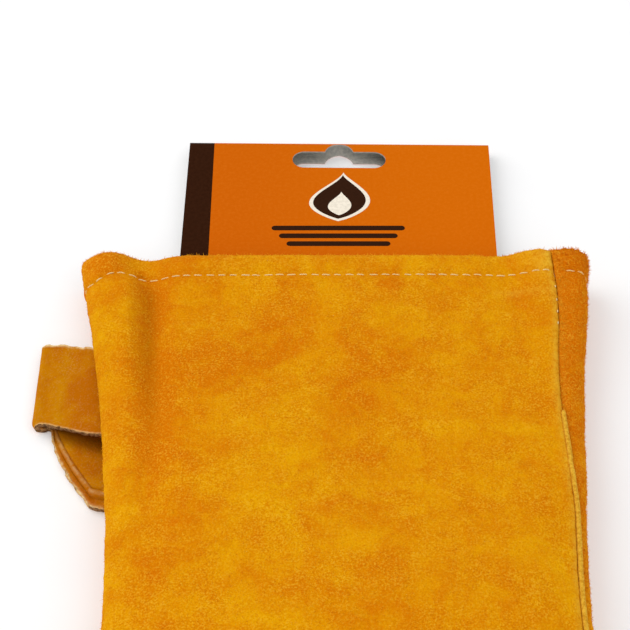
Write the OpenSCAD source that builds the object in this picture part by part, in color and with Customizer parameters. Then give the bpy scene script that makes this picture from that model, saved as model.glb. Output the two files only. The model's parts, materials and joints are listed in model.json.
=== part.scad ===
// Heat resistant gauntlet glove for outdoor cooking, lying palm up with its header card in the cuff.
// Origin: middle of the cuff's mouth on the surface the glove lies on. +X is the little-finger side,
// +Y points out of the mouth, and the fingers point to -Y. "Down" the glove means towards the fingers.

/* [Layers] */
// Thickness of the suede
leather_t = 1.6; // [1.2:0.1:1.8]
// Thickness of the quilted lining
lining_t = 1.4; // [1:0.1:1.6]
// Clearance between one layer and the next
layer_gap = 0.3; // [0.2:0.05:0.4]

/* [Cuff] */
// Length from the mouth down to the wrist seam
cuff_len = 150; // [130:5:170]
// Half the width of the cuff laid flat, at its mouth
mouth_half_w = 81.5; // [76:0.5:88]
// Half the width at the wrist seam
wrist_half_w = 66; // [62:1:70]
// Height of the middle of the mouth above the table
mouth_h = 15.8; // [14.5:0.1:17]
// How far the mouth leans to the thumb's side of the glove's middle line
mouth_lean = 2.6; // [0:0.1:3]
// Depth of the turned hem
hem_depth = 9.7; // [8:0.1:14]
// How far the side rolls rise above a plain oval at the mouth
roll_rise = 4.5; // [0:0.5:6]
// Depth of the soft valley beside the left roll
valley_depth = 2; // [0:0.5:3]

/* [Hand] */
// Height of the wrist above the table
wrist_h = 22; // [18:1:24]
// Height of the palm above the table
palm_h = 26; // [22:1:28]
// Length of the palm from the wrist seam to the knuckle crease
palm_len = 104; // [95:1:112]
// Half the width of the palm
palm_half_w = 65; // [62:1:68]

/* [Fingers] */
// Length of the index finger
index_len = 86; // [78:1:92]
// Length of the middle finger
middle_len = 96; // [88:1:102]
// Length of the ring finger
ring_len = 90; // [80:1:96]
// Length of the little finger
little_len = 72; // [64:1:80]
// Turn of the index finger away from the glove's length, in degrees
index_turn = -5; // [-6:0.5:-4]
// Turn of the middle finger
middle_turn = -1.5; // [-2:0.5:-1]
// Turn of the ring finger
ring_turn = 2; // [1.5:0.5:3]
// Turn of the little finger
little_turn = 6; // [5:0.5:7]
// Half the width of a finger
finger_half_w = 15; // [13:0.5:15.5]
// Height of a finger at its base
finger_h = 22; // [18:1:23]

/* [Thumb] */
// Distance from the mouth to the middle of the thumb's base
thumb_at = 198; // [190:1:205]
// Half the length of the thumb's base along the palm's side
thumb_base_half = 25; // [20:1:27]
// How far the thumbtip lies out from the palm's side
thumb_out = 46; // [40:1:52]
// How far the thumbtip lies down the glove from the middle of its base
thumb_down = 62; // [55:1:68]
// How far the thumb turns towards the fingers, in degrees
thumb_turn = 45; // [40:1:50]
// Half the width of the thumb past its base
thumb_half_w = 16; // [14:0.5:17]

/* [Header card] */
// Width of the card
card_w = 103.5; // [95:0.5:110]
// Length of card that stands out of the mouth
card_out = 65.9; // [55:0.1:75]
// Length of each leaf beyond the mouth
card_in = 24; // [15:1:26]
// Turn of the card in the mouth, in degrees clockwise
card_turn = 0.7; // [0:0.1:2]
// Distance of the card's fold from the glove's middle line, on the thumb's side
card_off = 0.3; // [0:0.1:1]
// Thickness of the board
card_t = 0.5; // [0.4:0.1:0.6]
// Outside height of the folded card
card_h = 5.6; // [5.5:0.1:6]
// Width of the hanging slot
slot_w = 32; // [30:0.5:34]

/* [Hang loop] */
// Distance from the mouth to the loop's upper edge
loop_at = 33.5; // [30:0.5:40]
// Width of the strap
strap_w = 32; // [28:1:36]
// How far the loop stands out from the centreline
loop_out = 93; // [90:0.5:98]
// Clear gap between the two legs
loop_gap = 4.5; // [4.4:0.1:5]
// How far down the glove the lower leg's far corner reaches from the loop's upper edge
loop_slant = 57; // [50:1:62]

/* [Stitching] */
// Distance from one stitch to the next
stitch_pitch = 3.7; // [3:0.1:5]
// Radius of the thread
thread_r = 0.35; // [0.3:0.05:0.4]

/* [Hidden] */

suede = [0.80, 0.52, 0.12];
suede_dark = [0.70, 0.44, 0.10];
cotton = [0.86, 0.83, 0.76];
straw = [0.95, 0.82, 0.55];
board = [0.83, 0.40, 0.08];

lining_d = leather_t + layer_gap;
fold_r = leather_t + layer_gap / 2;
fold_d = 2 * fold_r;
seam_half = 0.6;
body_n = 2.8;
digit_n = 2.3;
mouth_bottom = 0.9;
wrist_gap = 0.9;
cuff_end = cuff_len - wrist_gap;
hand_start = cuff_len + wrist_gap;
knuckle_at = cuff_len + palm_len;
digit_gap = 0.8;
thumb_window = 40;
finger_gap = 2.2;
finger_pitch = 2 * finger_half_w + finger_gap;
finger_floor = 0.2;
finger_lens = [index_len, middle_len, ring_len, little_len];
finger_turns = [index_turn, middle_turn, ring_turn, little_turn];
thumb_base_half_h = 11.5;
thumb_tip_half_h = 9.5;

// ---- Shared curves -------------------------------------------------------------------------

function smooth(a, b, x) = let (t = min(1, max(0, (x - a) / (b - a)))) t * t * (3 - 2 * t);
function mix(a, b, t) = a + (b - a) * t;
function bump(x, at, spread) = exp(-pow((x - at) / spread, 2));
function spow(v, n) = sign(v) * pow(abs(v), 2 / n);

// Half the width, top, lean and bottom of the glove's body at a distance s down from the mouth
function half_w(s) =
  s < cuff_len
    ? wrist_half_w + (mouth_half_w - wrist_half_w) * pow(1 - s / cuff_len, 1.75)
    : mix(wrist_half_w, palm_half_w, smooth(cuff_len, cuff_len + 30, s));
function top_z(s) =
  mouth_h + (wrist_h - mouth_h) * smooth(0, cuff_len, s)
  + (palm_h - wrist_h) * smooth(cuff_len, cuff_len + 50, s)
  - (palm_h - finger_h - 1) * smooth(knuckle_at - 30, knuckle_at, s);
function lean(s) = -mouth_lean * pow(max(0, 1 - s / cuff_len), 1.5);
function bottom_z(s) = mouth_bottom * (1 - smooth(card_in + 4, card_in + 40, s));

// The two side rolls and the valley, which fade out down the cuff
function wave(x, s) =
  (1 - smooth(10, 110, s))
  * (roll_rise * bump(abs(x), half_w(s) - 9, 8) - valley_depth * bump(x, -60, 8));

// Point of the body's section: a is the angle round it, s the distance down, d the depth inside
function body_pt(a, s, d) =
  let (hw = half_w(s), zt = top_z(s), zb = bottom_z(s),
       c = spow(cos(a), body_n), q = spow(sin(a), body_n), rise = q > 0 ? wave(hw * c, s) * q : 0)
  [(hw - d) * c + lean(s), -s, (zt + zb) / 2 + ((zt - zb) / 2 - d) * q + rise];

// Angle of the point of the palm side that lies at x from the body's own middle line
function body_angle(x, s) = acos(sign(x) * pow(abs(x) / half_w(s), body_n / 2));

// The side seam runs on the palm side, a little in from the right edge
function seam_x(s) = min(64.6 + 4 * (1 - smooth(5, 70, s)), 0.955 * half_w(s));
function seam_a(s) = body_angle(seam_x(s), s);
// Half the angle that the thumb's opening takes out of the palm's side
function thumb_open(s) =
  thumb_window * smooth(-26, -20, s - thumb_at) * (1 - smooth(16, 22, s - thumb_at));

// ---- Shared solids -------------------------------------------------------------------------

// Solid through rings of points. Each ring runs along one side of a strip and back along the other.
module loft(rings, closed = false) {
  n = len(rings);
  m = len(rings[0]);
  last = closed ? n : n - 1;
  sides = [for (i = [0 : last - 1], j = [0 : m - 1])
    let (a = i * m + j, b = i * m + (j + 1) % m, c = ((i + 1) % n) * m + (j + 1) % m,
         d = ((i + 1) % n) * m + j)
    each [[a, b, c], [a, c, d]]];
  ends = closed ? [] : [for (k = [0 : m / 2 - 2], e = [0, 1])
    let (o = e * (n - 1) * m, a = o + k, b = o + k + 1, c = o + m - 2 - k, d = o + m - 1 - k)
    each e == 0 ? [[a, c, b], [a, d, c]] : [[a, b, c], [a, c, d]]];
  polyhedron(points = [for (r = rings) each r], faces = concat(sides, ends), convexity = 6);
}

// Strip with an outer and an inner line of [s, d] points, as one ring of a section
function strip(outer, inner) =
  concat(outer, [for (k = [len(inner) - 1 : -1 : 0]) inner[k]]);
function layer(s_list, d0, d1) = strip([for (s = s_list) [s, d0]], [for (s = s_list) [s, d1]]);
function cord_section(s, d, r) = [for (k = [0 : 5]) [s + r * cos(k * 60), d + r * sin(k * 60)]];

// Lines of points round the body: angle(i, s) is the angle of line i at a distance s down
function body_rings(section, n, angle) =
  [for (i = [0 : n]) [for (p = section) body_pt(angle(i, p[0]), p[0], p[1])]];

// One stitch: a round thread from p to q
module stitch(p, q) {
  v = q - p;
  translate(p)
    rotate([0, acos(v[2] / norm(v)), atan2(v[1], v[0])])
      cylinder(r = thread_r, h = norm(v), $fn = 24);
}
stitch_len = 0.62 * stitch_pitch;
stitch_d = -thread_r - 0.55;

// ---- Cuff ----------------------------------------------------------------------------------

hem_in = hem_depth + 1;
lining_stations = [hem_in + layer_gap, 20, 30, 44, 60, 78, 96, 114, 132, cuff_end];
cuff_stations = concat([8], lining_stations);
fold_turns = [180, 135, 90, 45, 0];
cuff_palm_steps = 34;
cuff_back_steps = 30;

// Angle of the panels' i-th line of points at a distance s down
cuff_palm_a = function (i, s) mix(seam_a(s) + seam_half, 180 - seam_half, i / cuff_palm_steps);
cuff_back_a = function (i, s) mix(180 + seam_half, 360 + seam_a(s) - seam_half, i / cuff_back_steps);

// Panel of suede with its edge turned in at the mouth
panel_section = strip(
  concat([[hem_in, fold_d]],
         [for (f = fold_turns) [fold_r - fold_r * sin(f), fold_r - fold_r * cos(f)]],
         [for (s = cuff_stations) [s, 0]]),
  concat([[hem_in, lining_d]],
         [for (f = fold_turns) [fold_r - layer_gap / 2 * sin(f), fold_r - layer_gap / 2 * cos(f)]],
         [for (s = cuff_stations) [s, leather_t]]));

module cuff_palm_panel() {
  color(suede)
    loft(body_rings(panel_section, cuff_palm_steps, cuff_palm_a));
}

module cuff_back_panel() {
  color(suede_dark)
    loft(body_rings(panel_section, cuff_back_steps, cuff_back_a));
}

// The lining follows the same lines of points, so that it stays clear of both panels
module cuff_lining() {
  section = layer(lining_stations, lining_d, lining_d + lining_t);
  color(cotton)
    loft(concat(body_rings(section, cuff_palm_steps, cuff_palm_a),
                body_rings(section, cuff_back_steps, cuff_back_a)), closed = true);
}

// Row of stitches across the body at a distance s down, on the palm side or on the back
module cross_row(s, from_x, to_x, side) {
  for (x = [from_x : stitch_pitch : to_x])
    stitch(body_pt(side * body_angle(x, s), s, stitch_d),
           body_pt(side * body_angle(x + stitch_len, s), s, stitch_d));
}

module hem_stitching() {
  color(straw) {
    cross_row(hem_depth, -76, 62, 1);
    cross_row(hem_depth, -72, -60, -1);
    cross_row(hem_depth, 57, 69, -1);
  }
}

// Cord of leather sewn into the side seam below its visible stitches
welt_r = 0.7;
welt_lift = 0.15;
welt_from = 52;
welt_steps = 8;
welt_pitch = (cuff_len - 2 - welt_from) / welt_steps;
module side_seam_welt() {
  color(straw)
    loft([for (i = [welt_steps : -1 : 0])
      let (s = welt_from + i * welt_pitch, at = body_pt(seam_a(s), s, -welt_r - welt_lift))
      [for (k = [0 : 5]) at + welt_r * [cos(k * 60), 0, sin(k * 60)]]]);
}

seam_stitches_to = 46;
seam_stitch_turn = 2.5;
module side_seam_stitching() {
  color(straw)
    for (s = [3 : stitch_pitch : seam_stitches_to])
      stitch(body_pt(seam_a(s) + seam_stitch_turn, s, stitch_d),
             body_pt(seam_a(s + stitch_len) + seam_stitch_turn, s + stitch_len, stitch_d));
}

wrist_cord_r = 0.6;
wrist_cord_d = 0.8;
wrist_steps = 30;
module wrist_welt() {
  color(suede_dark)
    loft(body_rings(cord_section(cuff_len, wrist_cord_d, wrist_cord_r), wrist_steps - 1,
                    function (i, s) i * 360 / wrist_steps), closed = true);
}

// ---- Hang loop -----------------------------------------------------------------------------

loop_corner = 3;
tack_in = 3;
low_z = 0.3;
high_z = low_z + leather_t + loop_gap;
loop_r = (high_z + leather_t - low_z) / 2;
function loop_root(s) = lean(s) - half_w(s) - 1.4;

// Strap folded at its outer edge: the upper leg lies straight and the lower leg slants down the glove
module hang_loop() {
  fold_x = -loop_out + loop_r;
  color(suede_dark) {
    translate([0, 0, high_z])
      linear_extrude(leather_t)
        polygon([[fold_x, -loop_at], [loop_root(loop_at), -loop_at],
                 [loop_root(loop_at + strap_w), -loop_at - strap_w], [fold_x, -loop_at - strap_w]]);
    translate([0, 0, low_z])
      linear_extrude(leather_t)
        polygon([[fold_x, -loop_at], [loop_root(loop_at), -loop_at],
                 [loop_root(loop_at + loop_slant), -loop_at - loop_slant],
                 [loop_root(loop_at + loop_slant) - loop_corner, -loop_at - loop_slant],
                 [fold_x, -loop_at - strap_w]]);
    translate([fold_x, -loop_at, low_z + loop_r])
      rotate([90, 0, 0])
        linear_extrude(strap_w)
          difference() {
            circle(r = loop_r, $fn = 64);
            circle(r = loop_r - leather_t, $fn = 64);
            translate([0, -loop_r])
              square([loop_r, 2 * loop_r]);
          }
  }
}

// Row of tacking stitches that holds the strap at the seam
module hang_loop_stitching() {
  stitch_z = high_z + leather_t + thread_r + 0.05;
  color(straw)
    for (s = [loop_at + tack_in : stitch_pitch : loop_at + strap_w - stitch_pitch])
      stitch([loop_root(s) - tack_in, -s, stitch_z], [loop_root(s) - tack_in, -s - stitch_len, stitch_z]);
}

// ---- Header card ---------------------------------------------------------------------------

card_r = card_h / 2;
slot_lobe_r = 4.1;
slot_drop = 14;
slot_hump_r = 5;
slot_hump_up = 3;

// One board folded over the back panel's hem, with a hanging slot through both leaves
module header_card() {
  fold_y = card_out - card_r;
  leaf_len = fold_y + card_in;
  color(board)
    translate([-card_off, card_out, 0])
    rotate(-card_turn)
    translate([0, -card_out, 0])
    difference() {
      translate([-card_w / 2, 0, 0])
        rotate([90, 0, 90])
          linear_extrude(card_w)
            union() {
              translate([-card_in, 0])
                square([leaf_len, card_t]);
              translate([-card_in, card_h - card_t])
                square([leaf_len, card_t]);
              translate([fold_y, card_r])
                difference() {
                  circle(r = card_r, $fn = 64);
                  circle(r = card_r - card_t, $fn = 64);
                  translate([-2 * card_r, -card_r])
                    square([2 * card_r, card_h]);
                }
            }
      translate([0, card_out - slot_drop + slot_lobe_r, -1])
        linear_extrude(card_h + 2)
          union() {
            translate([-slot_w / 2 + slot_lobe_r, -slot_lobe_r])
              square([slot_w - 2 * slot_lobe_r, 2 * slot_lobe_r]);
            for (side = [-1, 1])
              translate([side * (slot_w / 2 - slot_lobe_r), 0])
                circle(r = slot_lobe_r, $fn = 48);
            translate([0, slot_hump_up])
              circle(r = slot_hump_r, $fn = 48);
          }
    }
}

// ---- Hand ----------------------------------------------------------------------------------

hand_end = knuckle_at - digit_gap;
hand_stations = [hand_start, 160, 168, 172, 174, 176, 178, 186, 210, 214, 216, 218, 220, 236, hand_end];
hand_lining_d = lining_d + layer_gap;
palm_steps = 26;
hand_back_steps = 26;

// Angle of the panels' i-th line of points at a distance s down, leaving out the thumb's opening
palm_a = function (i, s) mix(seam_a(s) + seam_half, 180 - seam_half - thumb_open(s), i / palm_steps);
hand_back_a = function (i, s)
  mix(180 + seam_half + thumb_open(s), 360 + seam_a(s) - seam_half, i / hand_back_steps);

module palm_panel() {
  color(suede)
    loft(body_rings(layer(hand_stations, 0, leather_t), palm_steps, palm_a));
}

module hand_back_panel() {
  color(suede_dark)
    loft(body_rings(layer(hand_stations, 0, leather_t), hand_back_steps, hand_back_a));
}

module hand_lining() {
  section = layer(hand_stations, hand_lining_d, hand_lining_d + lining_t);
  color(cotton)
    loft(concat(body_rings(section, hand_back_steps, hand_back_a), body_rings(section, palm_steps, palm_a)));
}

wrist_stitches_in = 4;
module wrist_seam_stitching() {
  color(straw)
    cross_row(hand_start + wrist_stitches_in, -58, 54, 1);
}

// ---- Fingers and thumb ---------------------------------------------------------------------

// How a digit narrows to its rounded tip, u being 0 at its base and 1 at its end
tip_from = 0.82;
function tip(u) = u < tip_from ? 1 - 0.06 * u : 0.95 * sqrt(max(0.012, 1 - pow((u - tip_from) / (1 - tip_from), 2)));
digit_stations = [0, 0.35, 0.7, 0.82, 0.91, 0.97, 1];

// Points of a digit: a is the angle round it, u the share of its length from its base, d the depth inside.
// A finger runs straight, and the thumb bends from the palm's side towards the fingers.
function finger_base(i) = [(i - 1.5) * finger_pitch, -knuckle_at];
function finger_pt(i, a, u, d) =
  let (long = finger_lens[i] - d - digit_gap, w = (finger_half_w - d) * tip(u),
       h = ((finger_h - finger_floor) / 2 * (1 - 0.12 * u) - d) * tip(u),
       mid = finger_floor + (finger_h - finger_floor) / 2 * (1 - 0.12 * u),
       x = w * spow(cos(a), digit_n), y = -digit_gap - long * u, t = finger_turns[i], b = finger_base(i))
  [b[0] + x * cos(t) - y * sin(t), b[1] + x * sin(t) + y * cos(t), mid + h * spow(sin(a), digit_n)];

thumb_root_x = -palm_half_w - digit_gap - 0.6;
thumb_len = norm([thumb_out, thumb_down]);
function thumb_mid(u) =
  [thumb_root_x - thumb_out * u * (0.9 + 0.1 * u), -thumb_at - thumb_down * u * (0.45 + 0.55 * u)];
function thumb_w(u) = mix(thumb_base_half, thumb_half_w, smooth(0, 0.6, u));
function thumb_h(u) = mix(thumb_base_half_h, thumb_tip_half_h, u);
function thumb_pt(a, u, d) =
  let (m = thumb_mid(u * (1 - d / thumb_len)), turn = thumb_turn * smooth(0, 0.7, u),
       x = (thumb_w(u) - d) * tip(u) * spow(cos(a), digit_n), h = (thumb_h(u) - d) * tip(u))
  [m[0] + x * sin(turn), m[1] - x * cos(turn), finger_floor + thumb_h(u) + h * spow(sin(a), digit_n)];

// Layer of a digit between two angles round it; who is 0 to 3 for a finger and 4 for the thumb
module digit_strip(who, n, from, to, d0, d1) {
  loft([for (i = [0 : n])
    let (a = mix(from, to, i / n))
    [for (p = layer(digit_stations, d0, d1))
      who < 4 ? finger_pt(who, a, p[0], p[1]) : thumb_pt(a, p[0], p[1])]]);
}

side_a = 30;
digit_seam = 1.2;
module digit_front(who, edge) {
  color(suede)
    digit_strip(who, 6, edge + digit_seam, 180 - edge - digit_seam, 0, leather_t);
}
module digit_back(who, edge) {
  color(suede_dark)
    digit_strip(who, 6, 180 + edge + digit_seam, 360 - edge - digit_seam, 0, leather_t);
}
// The narrow side walls that join a finger's front to its back
module digit_fourchettes(who) {
  color(suede)
    for (side = [0, 180])
      digit_strip(who, 3, side - side_a + digit_seam, side + side_a - digit_seam, 0, leather_t);
}
module digit_lining(who) {
  color(cotton)
    digit_strip(who, 12, 0.5, 359.5, lining_d, lining_d + lining_t);
}

module thumb_front() { digit_front(4, 0); }
module thumb_back() { digit_back(4, 0); }
module thumb_lining() { digit_lining(4); }
module index_finger_front() { digit_front(0, side_a); }
module index_finger_back() { digit_back(0, side_a); }
module index_finger_fourchettes() { digit_fourchettes(0); }
module index_finger_lining() { digit_lining(0); }
module middle_finger_front() { digit_front(1, side_a); }
module middle_finger_back() { digit_back(1, side_a); }
module middle_finger_fourchettes() { digit_fourchettes(1); }
module middle_finger_lining() { digit_lining(1); }
module ring_finger_front() { digit_front(2, side_a); }
module ring_finger_back() { digit_back(2, side_a); }
module ring_finger_fourchettes() { digit_fourchettes(2); }
module ring_finger_lining() { digit_lining(2); }
module little_finger_front() { digit_front(3, side_a); }
module little_finger_back() { digit_back(3, side_a); }
module little_finger_fourchettes() { digit_fourchettes(3); }
module little_finger_lining() { digit_lining(3); }

cuff_palm_panel();
cuff_back_panel();
cuff_lining();
hem_stitching();
side_seam_welt();
side_seam_stitching();
wrist_welt();
hang_loop();
hang_loop_stitching();
header_card();
palm_panel();
hand_back_panel();
hand_lining();
wrist_seam_stitching();
thumb_front();
thumb_back();
thumb_lining();
index_finger_front();
index_finger_back();
index_finger_fourchettes();
index_finger_lining();
middle_finger_front();
middle_finger_back();
middle_finger_fourchettes();
middle_finger_lining();
ring_finger_front();
ring_finger_back();
ring_finger_fourchettes();
ring_finger_lining();
little_finger_front();
little_finger_back();
little_finger_fourchettes();
little_finger_lining();
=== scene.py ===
"""Heat resistant suede gauntlet lying palm up, with its header card in the mouth of the cuff.

The CAD frame gives every place and size. Lengths in the pattern functions are millimetres, measured
from the middle of the cuff's mouth: s runs from the mouth down to the fingers, d into the leather.
"""

import json
import math
from contextlib import contextmanager

import bmesh
import bpy
import numpy as np
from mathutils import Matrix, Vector, noise
from mathutils.bvhtree import BVHTree


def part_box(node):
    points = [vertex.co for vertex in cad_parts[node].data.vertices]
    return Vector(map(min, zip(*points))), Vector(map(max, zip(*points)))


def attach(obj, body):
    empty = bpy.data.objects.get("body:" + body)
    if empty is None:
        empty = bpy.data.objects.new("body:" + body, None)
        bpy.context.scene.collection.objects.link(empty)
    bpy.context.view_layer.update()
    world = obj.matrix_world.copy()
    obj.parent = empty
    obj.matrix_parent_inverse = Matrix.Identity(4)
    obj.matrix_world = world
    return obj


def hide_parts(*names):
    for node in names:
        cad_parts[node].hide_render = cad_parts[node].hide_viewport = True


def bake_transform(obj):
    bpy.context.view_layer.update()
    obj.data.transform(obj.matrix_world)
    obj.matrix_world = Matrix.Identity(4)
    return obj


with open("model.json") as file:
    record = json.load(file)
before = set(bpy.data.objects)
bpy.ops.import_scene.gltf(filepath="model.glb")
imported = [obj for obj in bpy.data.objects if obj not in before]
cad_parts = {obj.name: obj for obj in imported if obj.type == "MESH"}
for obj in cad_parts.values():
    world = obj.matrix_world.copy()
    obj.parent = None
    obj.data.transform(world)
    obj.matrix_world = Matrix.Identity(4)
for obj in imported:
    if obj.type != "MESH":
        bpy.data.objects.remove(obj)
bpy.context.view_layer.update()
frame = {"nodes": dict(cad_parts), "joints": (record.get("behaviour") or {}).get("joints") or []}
MM = 0.001
rng = np.random.default_rng(7)


# ---- Sizes, read from the frame ------------------------------------------------------------------

def mm_box(node):
    """Lowest and highest corner of a CAD node, in millimetres."""
    return [np.array(corner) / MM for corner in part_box(node)]


CARD_LOW, CARD_HIGH = mm_box("header_card")
LOOP_LOW, LOOP_HIGH = mm_box("hang_loop")
JOINTS = {joint["name"]: joint for joint in frame["joints"]}
FINGERS = ("index", "middle", "ring", "little")

MOUTH_LEAN = 2.6
MOUTH_HALF = mm_box("cuff_back_panel")[1][0] + MOUTH_LEAN - 0.1
WRIST_HALF = 66.0
PALM_HALF = mm_box("hand_back_panel")[1][0] - 1.0
CUFF_LEN = -JOINTS["wrist_bend"]["pos_m"][1] / MM
KNUCKLE_AT = -JOINTS["middle_bend"]["pos_m"][1] / MM
MOUTH_Z, WRIST_Z = 15.8, 22.0
PALM_Z = mm_box("palm_panel")[1][2]
FINGER_Z = mm_box("middle_finger_front")[1][2]
MOUTH_FLOOR = 0.9
FLOOR_GAP = 0.15
LEATHER, LINING = 1.6, 1.4
FOLD_R = 1.75
HEM_DEPTH = 9.7
STITCH_PITCH = 3.7
SEAM_DOTS_FROM, SEAM_DOTS_TO = 15.5, 33.0


# ---- Shared curves -------------------------------------------------------------------------------

def smooth(a, b, x):
    """Nothing below a, rising softly to one at b."""
    t = np.clip((x - a) / (b - a), 0, 1)
    return t * t * (3 - 2 * t)


def fade(a, b, x):
    """One below a, falling softly to nothing at b."""
    return 1 - smooth(a, b, x)


def mix(a, b, t):
    return a + (b - a) * t


def bump(x, at, spread):
    return np.exp(-((x - at) / spread) ** 2)


def spow(v, n):
    """Sine or cosine v of an angle, squared up into a superellipse of power n."""
    return np.sign(v) * np.abs(v) ** (2 / n)


def unit(v):
    return v / np.maximum(np.linalg.norm(v, axis=-1, keepdims=True), 1e-9)


def half_w(s):
    """Half the glove's width at a distance s down from the mouth."""
    cuff = WRIST_HALF + (MOUTH_HALF - WRIST_HALF) * np.clip(1 - s / CUFF_LEN, 0, 1.2) ** 1.75
    hand = mix(WRIST_HALF, PALM_HALF, smooth(CUFF_LEN, CUFF_LEN + 30, s))
    return np.where(s < CUFF_LEN, cuff, hand)


def top_z(s):
    return (MOUTH_Z + (WRIST_Z - MOUTH_Z) * smooth(0, CUFF_LEN, s)
            + (PALM_Z - WRIST_Z) * smooth(CUFF_LEN, CUFF_LEN + 50, s)
            - (PALM_Z - FINGER_Z - 1) * smooth(KNUCKLE_AT - 30, KNUCKLE_AT, s))


def bottom_z(s):
    return MOUTH_FLOOR * fade(28, 64, s)


def lean(s):
    """How far the cuff's middle line lies to the thumb's side."""
    return -MOUTH_LEAN * np.clip(1 - s / CUFF_LEN, 0, 1.2) ** 1.5


def belly(s):
    """How far the side by the little finger swells beyond the cuff's straight outline."""
    return (0.7 * smooth(4, 20, s) + 0.6 * bump(s, 28, 13)) * fade(95, 135, s)


def hem_line(x):
    """Distance of the hem's stitches from the mouth: they run lower over the roll at the thumb's side."""
    return HEM_DEPTH + 3.6 * smooth(-70.5, -80.5, x)


def squareness(s):
    """The stiff hem keeps the mouth's corners square, and the cuff is more oval further down."""
    return mix(4.5, 2.8, smooth(0, 75, s))


def seam_angle(s):
    """Angle round the body at which the side seam lies."""
    seam_x = np.minimum(64.8 + 4.0 * fade(5, 70, s), 0.955 * half_w(s))
    return np.arccos((seam_x / half_w(s)) ** (squareness(s) / 2))


def valley_x(s):
    """Course of the long valley beside the roll at the thumb's side."""
    return -59.5 + 1.8 * smooth(4, 18, s) + 2.6 * smooth(18, 80, s)


def rise(x, s):
    """Rolls at both sides of the mouth, the long valley by the left roll, and slack between them."""
    floor_x, below = valley_x(s), smooth(3, 16, s)
    shelf = smooth(-84, -74, x) * fade(floor_x - 7.5, floor_x - 0.5, x)
    left = 3.3 * mix(bump(x, -73, 6.5), shelf, below) * fade(12, 90, s)
    ridge = 1.3 * bump(x, floor_x - 9, 6) * smooth(8, 30, s) * fade(85, 130, s)
    valley = -2.4 * bump(x, floor_x, mix(6.5, 4.6, below))
    valley = valley * (1 - 0.45 * smooth(20, 90, s)) * fade(95, 125, s)
    dip = -0.4 * bump(x, 51, 4) * fade(2, 20, s)
    right = (3.6 * smooth(53.5, 66, x) + 2.6 * smooth(67, 80, x)) * (1 - 0.8 * smooth(6, 75, s))
    right = right * fade(90, 125, s)
    slack = 0.8 * np.sin(x * 0.055 + 0.6) * np.sin(s * 0.045 + 0.8) * smooth(4, 30, s) * fade(120, 148, s)
    pinch = 0.35 * bump(s, 17.6, 0.9) - 0.45 * bump(s, 19.6, 1.1) + 0.3 * bump(s, 21.4, 0.9)
    pinch = pinch * smooth(46, 52, x) * fade(62, 66, x)
    crease = -0.9 * bump(s, 86 + 0.12 * (x - 60), 2.4) * smooth(38, 52, x) * fade(62, 65, x)
    return left + ridge + valley + dip + right + slack + pinch + crease


def body_pt(a, s, d):
    """Points of the glove's body in millimetres: a is the angle round it, in radians."""
    n = squareness(s)
    wide, high, low = half_w(s), top_z(s), bottom_z(s)
    c, q = spow(np.cos(a), n), spow(np.sin(a), n)
    lift = np.where(q > 0, rise(wide * c, s) * np.clip(q, 0, 1) ** 0.7, 0)
    across = (wide - d) * c + lean(s) + belly(s) * np.clip(c, 0, 1) ** 3
    return np.stack([across, -s + 0 * a, (high + low) / 2 + ((high - low) / 2 - d) * q + lift], -1)


def travel(points):
    """Distance along a path to each of its points."""
    return np.concatenate([[0], np.cumsum(np.linalg.norm(np.diff(points, axis=0), axis=1))])


def sample(where, run, values):
    """Rows of values, known at the distances run, at the distances where."""
    return np.stack([np.interp(where, run, values[:, k]) for k in range(3)], -1)


def turned(angle, n):
    """cos(angle) raised to a power with its sign kept, as an angle again in the same half turn."""
    half_turn = np.floor(angle / np.pi) * np.pi
    return np.arccos(np.clip(spow(np.cos(angle - half_turn), n), -1, 1)) + half_turn


def even_run(start, end, s):
    """Finely stepped angles from start to end at s, and the distance along the body to each."""
    n = squareness(s)
    fine = turned(np.linspace(turned(start, n), turned(end, n), 4000), 4 / n)
    return fine, travel(body_pt(fine, np.full_like(fine, s), 0))


def even_angles(start, end, step, s):
    """Angles from start to end whose points at s lie about step millimetres apart."""
    fine, run = even_run(start, end, s)
    count = max(2, int(round(run[-1] / step)))
    return np.interp(np.linspace(0, run[-1], count + 1), run, fine)


def even_rows(start, end, count, s):
    """As even_angles, for each s of a row of them: count angles by len(s)."""
    columns = []
    for at in s:
        fine, run = even_run(float(start(at)), float(end(at)), float(at))
        columns.append(np.interp(np.linspace(0, run[-1], count), run, fine))
    return np.stack(columns, 1)


def fbm(points, size, octaves, seed):
    """Fractal noise from about -1 to 1 for points in millimetres, with features of about size."""
    offset = Vector((seed * 13.7, seed * 7.3, seed * 3.1))
    values = [noise.fractal(Vector(p) / size + offset, 1.0, 2.0, octaves) for p in points.reshape(-1, 3)]
    return np.array(values).reshape(points.shape[:-1])


# ---- Mesh helpers --------------------------------------------------------------------------------

def add_object(name, data, material=None):
    """Put an object made of a mesh, light or camera into the scene."""
    if material is not None:
        data.materials.append(material)
    obj = bpy.data.objects.new(name, data)
    bpy.context.scene.collection.objects.link(obj)
    return obj


@contextmanager
def editing(mesh, into=None):
    """A bmesh of the mesh, which is written back at the end, or written into another mesh."""
    bm = bmesh.new()
    bm.from_mesh(mesh)
    yield bm
    bm.to_mesh(into or mesh)
    bm.free()


def make_object(name, verts_mm, faces, material, smooth_shade=True):
    mesh = bpy.data.meshes.new(name)
    mesh.from_pydata([tuple(v) for v in np.asarray(verts_mm) * MM], [], faces)
    mesh.validate()
    if smooth_shade:
        mesh.shade_smooth()
    return add_object(name, mesh, material)


def declare(obj, body, slot, *nodes):
    """Attach a piece to the body that it rides on, and hide the CAD nodes it stands for. slot is not used."""
    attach(obj, body)
    if nodes:
        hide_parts(*nodes)


def grid_normals(grid):
    return unit(np.cross(np.gradient(grid, axis=0), np.gradient(grid, axis=1)))


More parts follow.
